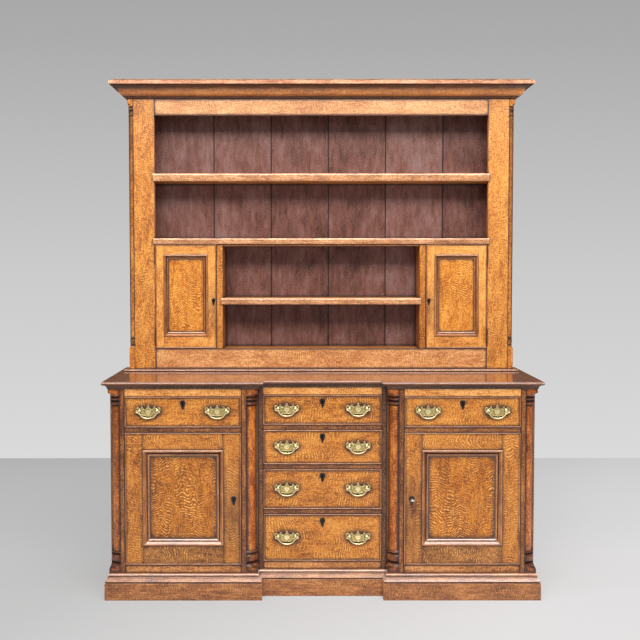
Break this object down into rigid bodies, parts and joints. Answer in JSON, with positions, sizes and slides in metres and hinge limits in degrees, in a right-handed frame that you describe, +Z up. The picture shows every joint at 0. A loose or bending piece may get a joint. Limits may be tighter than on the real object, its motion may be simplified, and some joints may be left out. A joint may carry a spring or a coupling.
{
  "type": "welsh dresser",
  "caption": "Breakfront oak dresser: panelled cupboard wings beside a bank of graduated drawers, with a shelved plate rack, small cupboards and a moulded cornice above.",
  "frame": {"origin": "on the floor, midway across the width, midway between the wall face and the front of the key's bow", "axes": "+Z up, +X to the right as seen from the front, +Y towards the wall; the doors and drawers face -Y"},
  "size_m": [1.85, 0.536, 2.183],
  "materials": {
    "oak": "waxed quarter-sawn oak, satin",
    "oak_dark": "unpolished dark oak",
    "oak_column": "waxed reddish oak, satin",
    "oak_board": "polished oak, glossy",
    "back_stain": "dark stained boards, satin",
    "brass": "worn pale brass",
    "steel": "worn steel"
  },
  "bodies": {
    "case": {"plinth": "oak", "base_board": "oak_board", "base_bottom": "oak_dark", "base_back": "oak_dark", "centre_frame": "oak", "wing_frame_left": "oak", "wing_frame_right": "oak", "base_end_left": "oak", "base_end_right": "oak", "partition_left": "oak_dark", "partition_right": "oak_dark", "outer_column_left": "oak_column", "outer_column_right": "oak_column", "inner_column_left": "oak_column", "inner_column_right": "oak_column", "rack_frame": "oak", "rack_end_left": "oak_column", "rack_end_right": "oak_column", "rack_back": "back_stain", "cupboard_case": "oak", "second_shelf": "oak", "top_shelf": "oak", "middle_shelf": "oak", "cornice": "oak"},
    "base_door_left": {"base_door_left": "oak"},
    "rack_door_left": {"rack_door_left": "oak"},
    "base_door_right": {"base_door_right": "oak"},
    "rack_door_right": {"rack_door_right": "oak"},
    "key": {"key": "steel"},
    "lock_bolt": {"lock_bolt": "steel"},
    "wing_drawer_left": {"wing_drawer_left": "oak", "wing_drawer_left_plate_left": "brass", "wing_drawer_left_plate_right": "brass"},
    "wing_drawer_left_bail_left": {"wing_drawer_left_bail_left": "brass"},
    "wing_drawer_left_bail_right": {"wing_drawer_left_bail_right": "brass"},
    "wing_drawer_right": {"wing_drawer_right": "oak", "wing_drawer_right_plate_left": "brass", "wing_drawer_right_plate_right": "brass"},
    "wing_drawer_right_bail_left": {"wing_drawer_right_bail_left": "brass"},
    "wing_drawer_right_bail_right": {"wing_drawer_right_bail_right": "brass"},
    "centre_drawer_1": {"centre_drawer_1": "oak", "centre_drawer_1_plate_left": "brass", "centre_drawer_1_plate_right": "brass"},
    "centre_drawer_1_bail_left": {"centre_drawer_1_bail_left": "brass"},
    "centre_drawer_1_bail_right": {"centre_drawer_1_bail_right": "brass"},
    "centre_drawer_2": {"centre_drawer_2": "oak", "centre_drawer_2_plate_left": "brass", "centre_drawer_2_plate_right": "brass"},
    "centre_drawer_2_bail_left": {"centre_drawer_2_bail_left": "brass"},
    "centre_drawer_2_bail_right": {"centre_drawer_2_bail_right": "brass"},
    "centre_drawer_3": {"centre_drawer_3": "oak", "centre_drawer_3_plate_left": "brass", "centre_drawer_3_plate_right": "brass"},
    "centre_drawer_3_bail_left": {"centre_drawer_3_bail_left": "brass"},
    "centre_drawer_3_bail_right": {"centre_drawer_3_bail_right": "brass"},
    "centre_drawer_4": {"centre_drawer_4": "oak", "centre_drawer_4_plate_left": "brass", "centre_drawer_4_plate_right": "brass"},
    "centre_drawer_4_bail_left": {"centre_drawer_4_bail_left": "brass"},
    "centre_drawer_4_bail_right": {"centre_drawer_4_bail_right": "brass"}
  },
  "joints": [
    {"name": "base_door_left_hinge", "type": "hinge", "parent": "case", "child": "base_door_left", "pos_m": [-0.8105, -0.231, 0.4165], "axis": [0, 0, -1], "range_deg": [0, 110]},
    {"name": "rack_door_left_hinge", "type": "hinge", "parent": "case", "child": "rack_door_left", "pos_m": [-0.738, 0.12, 1.234], "axis": [0, 0, -1], "range_deg": [0, 110]},
    {"name": "base_door_right_hinge", "type": "hinge", "parent": "case", "child": "base_door_right", "pos_m": [0.8105, -0.231, 0.4165], "axis": [0, 0, 1], "range_deg": [0, 110]},
    {"name": "rack_door_right_hinge", "type": "hinge", "parent": "case", "child": "rack_door_right", "pos_m": [0.738, 0.12, 1.234], "axis": [0, 0, 1], "range_deg": [0, 110]},
    {"name": "key_turn", "type": "hinge", "parent": "base_door_right", "child": "key", "pos_m": [0.365, -0.228, 0.4165], "axis": [0, -1, 0], "range_deg": [0, 90]},
    {"name": "bolt_slide", "type": "slide", "parent": "base_door_right", "child": "lock_bolt", "axis": [-1, 0, 0], "range_m": [0, 0.008]},
    {"name": "wing_drawer_left_slide", "type": "slide", "parent": "case", "child": "wing_drawer_left", "axis": [0, -1, 0], "range_m": [0, 0.35]},
    {"name": "wing_drawer_left_bail_left_swing", "type": "hinge", "parent": "wing_drawer_left", "child": "wing_drawer_left_bail_left", "pos_m": [-0.713, -0.239, 0.781], "axis": [-1, 0, 0], "range_deg": [-12, 150]},
    {"name": "wing_drawer_left_bail_right_swing", "type": "hinge", "parent": "wing_drawer_left", "child": "wing_drawer_left_bail_right", "pos_m": [-0.431, -0.239, 0.781], "axis": [-1, 0, 0], "range_deg": [-12, 150]},
    {"name": "wing_drawer_right_slide", "type": "slide", "parent": "case", "child": "wing_drawer_right", "axis": [0, -1, 0], "range_m": [0, 0.35]},
    {"name": "wing_drawer_right_bail_left_swing", "type": "hinge", "parent": "wing_drawer_right", "child": "wing_drawer_right_bail_left", "pos_m": [0.431, -0.239, 0.781], "axis": [-1, 0, 0], "range_deg": [-12, 150]},
    {"name": "wing_drawer_right_bail_right_swing", "type": "hinge", "parent": "wing_drawer_right", "child": "wing_drawer_right_bail_right", "pos_m": [0.713, -0.239, 0.781], "axis": [-1, 0, 0], "range_deg": [-12, 150]},
    {"name": "centre_drawer_1_slide", "type": "slide", "parent": "case", "child": "centre_drawer_1", "axis": [0, -1, 0], "range_m": [0, 0.33]},
    {"name": "centre_drawer_1_bail_left_swing", "type": "hinge", "parent": "centre_drawer_1", "child": "centre_drawer_1_bail_left", "pos_m": [-0.148, -0.189, 0.782], "axis": [-1, 0, 0], "range_deg": [-12, 150]},
    {"name": "centre_drawer_1_bail_right_swing", "type": "hinge", "parent": "centre_drawer_1", "child": "centre_drawer_1_bail_right", "pos_m": [0.148, -0.189, 0.782], "axis": [-1, 0, 0], "range_deg": [-12, 150]},
    {"name": "centre_drawer_2_slide", "type": "slide", "parent": "case", "child": "centre_drawer_2", "axis": [0, -1, 0], "range_m": [0, 0.33]},
    {"name": "centre_drawer_2_bail_left_swing", "type": "hinge", "parent": "centre_drawer_2", "child": "centre_drawer_2_bail_left", "pos_m": [-0.148, -0.189, 0.6265], "axis": [-1, 0, 0], "range_deg": [-12, 150]},
    {"name": "centre_drawer_2_bail_right_swing", "type": "hinge", "parent": "centre_drawer_2", "child": "centre_drawer_2_bail_right", "pos_m": [0.148, -0.189, 0.6265], "axis": [-1, 0, 0], "range_deg": [-12, 150]},
    {"name": "centre_drawer_3_slide", "type": "slide", "parent": "case", "child": "centre_drawer_3", "axis": [0, -1, 0], "range_m": [0, 0.33]},
    {"name": "centre_drawer_3_bail_left_swing", "type": "hinge", "parent": "centre_drawer_3", "child": "centre_drawer_3_bail_left", "pos_m": [-0.148, -0.189, 0.45], "axis": [-1, 0, 0], "range_deg": [-12, 150]},
    {"name": "centre_drawer_3_bail_right_swing", "type": "hinge", "parent": "centre_drawer_3", "child": "centre_drawer_3_bail_right", "pos_m": [0.148, -0.189, 0.45], "axis": [-1, 0, 0], "range_deg": [-12, 150]},
    {"name": "centre_drawer_4_slide", "type": "slide", "parent": "case", "child": "centre_drawer_4", "axis": [0, -1, 0], "range_m": [0, 0.33]},
    {"name": "centre_drawer_4_bail_left_swing", "type": "hinge", "parent": "centre_drawer_4", "child": "centre_drawer_4_bail_left", "pos_m": [-0.148, -0.189, 0.247], "axis": [-1, 0, 0], "range_deg": [-12, 150]},
    {"name": "centre_drawer_4_bail_right_swing", "type": "hinge", "parent": "centre_drawer_4", "child": "centre_drawer_4_bail_right", "pos_m": [0.148, -0.189, 0.247], "axis": [-1, 0, 0], "range_deg": [-12, 150]}
  ],
  "couplings": [
    {"joint": "key_turn", "follows": "bolt_slide", "rad_per_m": 196.35}
  ]
}
